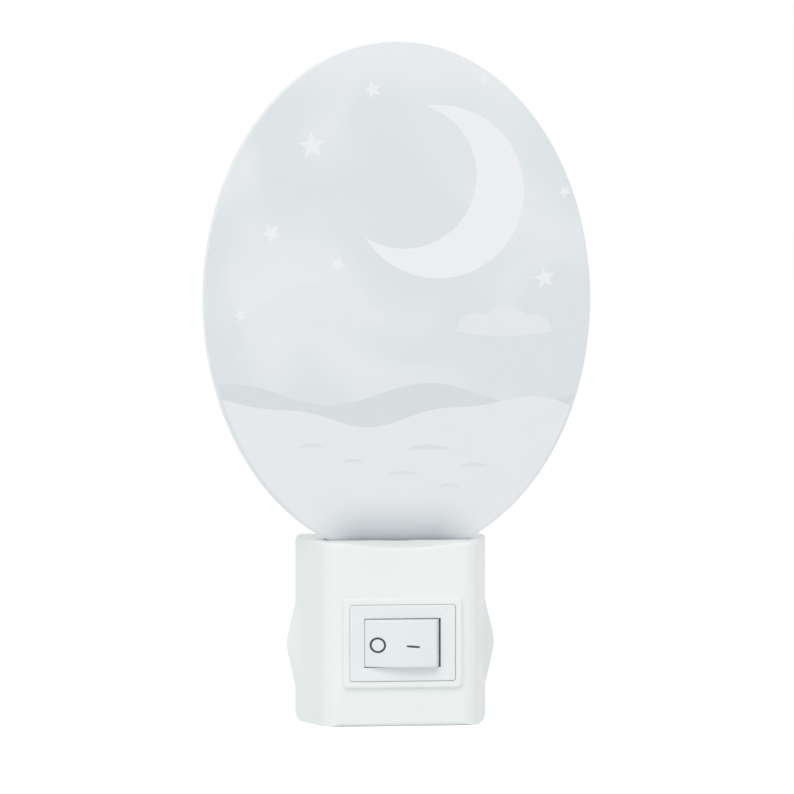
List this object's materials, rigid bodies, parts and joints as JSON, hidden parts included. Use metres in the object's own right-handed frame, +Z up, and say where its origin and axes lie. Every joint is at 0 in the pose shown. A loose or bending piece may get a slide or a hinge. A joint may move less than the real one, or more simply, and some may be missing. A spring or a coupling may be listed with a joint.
{
  "type": "plug in night light",
  "caption": "Wall night light with an edge-lit oval panel standing in a small rounded housing, a rocker switch in the front and round plug pins at the back.",
  "frame": {"origin": "centre of the plug's rear face, midway between the two plug pins", "axes": "+Y out of the plug's rear face into the wall socket, +Z up along the oval panel, +X to the viewer's right when facing the switch"},
  "size_m": [0.0764, 0.0623, 0.1338],
  "materials": {
    "white_abs": "fine satin moulded, cool white",
    "plug_brass": "nickel plated, polished",
    "sleeve_plastic": "moulded, white",
    "clear_acrylic": "polished clear acrylic",
    "printed_film": "screen printed translucent film, pale grey and white",
    "white_film": "white reflector film",
    "holder_plastic": "moulded, white",
    "steel_peg": "drawn",
    "board_laminate": "green solder mask",
    "lamp_resin": "yellow phosphor resin",
    "switch_nylon": "moulded, cool white",
    "rocker_nylon": "moulded, cool white",
    "plunger_acetal": "moulded, natural",
    "spring_steel": "drawn wire",
    "contact_brass": "stamped",
    "capacitor_epoxy": "moulded box",
    "capacitor_can": "sleeved aluminium can",
    "rectifier_epoxy": "moulded epoxy",
    "resistor_lacquer": "lacquered",
    "tinned_wire": "tinned",
    "brown_insulation": "extruded",
    "blue_insulation": "extruded",
    "zinc_steel": "zinc plated"
  },
  "bodies": {
    "housing": {"front_shell": "white_abs", "rear_cover": "white_abs", "line_pin": "plug_brass", "neutral_pin": "plug_brass", "pin_sleeves": "sleeve_plastic", "light_panel": "clear_acrylic", "picture_film": "printed_film", "back_film": "white_film", "panel_holder": "holder_plastic", "panel_pegs": "steel_peg", "lamp_board": "board_laminate", "lamps": "lamp_resin", "switch_body": "switch_nylon", "common_terminal": "contact_brass", "switched_terminal": "contact_brass", "main_board": "board_laminate", "dropper_capacitor": "capacitor_epoxy", "smoothing_capacitor": "capacitor_can", "bridge_rectifier": "rectifier_epoxy", "fusible_resistor": "resistor_lacquer", "discharge_resistor": "resistor_lacquer", "lamp_links": "tinned_wire", "live_wire": "brown_insulation", "neutral_wire": "blue_insulation", "switched_wire": "brown_insulation", "housing_screws": "zinc_steel"},
    "rocker": {"rocker": "rocker_nylon", "plunger": "plunger_acetal", "plunger_spring": "spring_steel"},
    "contact": {"contact_lever": "contact_brass"}
  },
  "joints": [
    {"name": "rocker_tilt", "type": "hinge", "parent": "housing", "child": "rocker", "pos_m": [0, -0.0384, 0], "axis": [0, 0, 1], "range_deg": [0, 18]},
    {"name": "contact_tilt", "type": "hinge", "parent": "housing", "child": "contact", "pos_m": [0, -0.03185, 0], "axis": [0, 0, 1], "range_deg": [-10, 0]}
  ],
  "couplings": [
    {"joint": "contact_tilt", "follows": "rocker_tilt", "ratio": -0.55556}
  ]
}
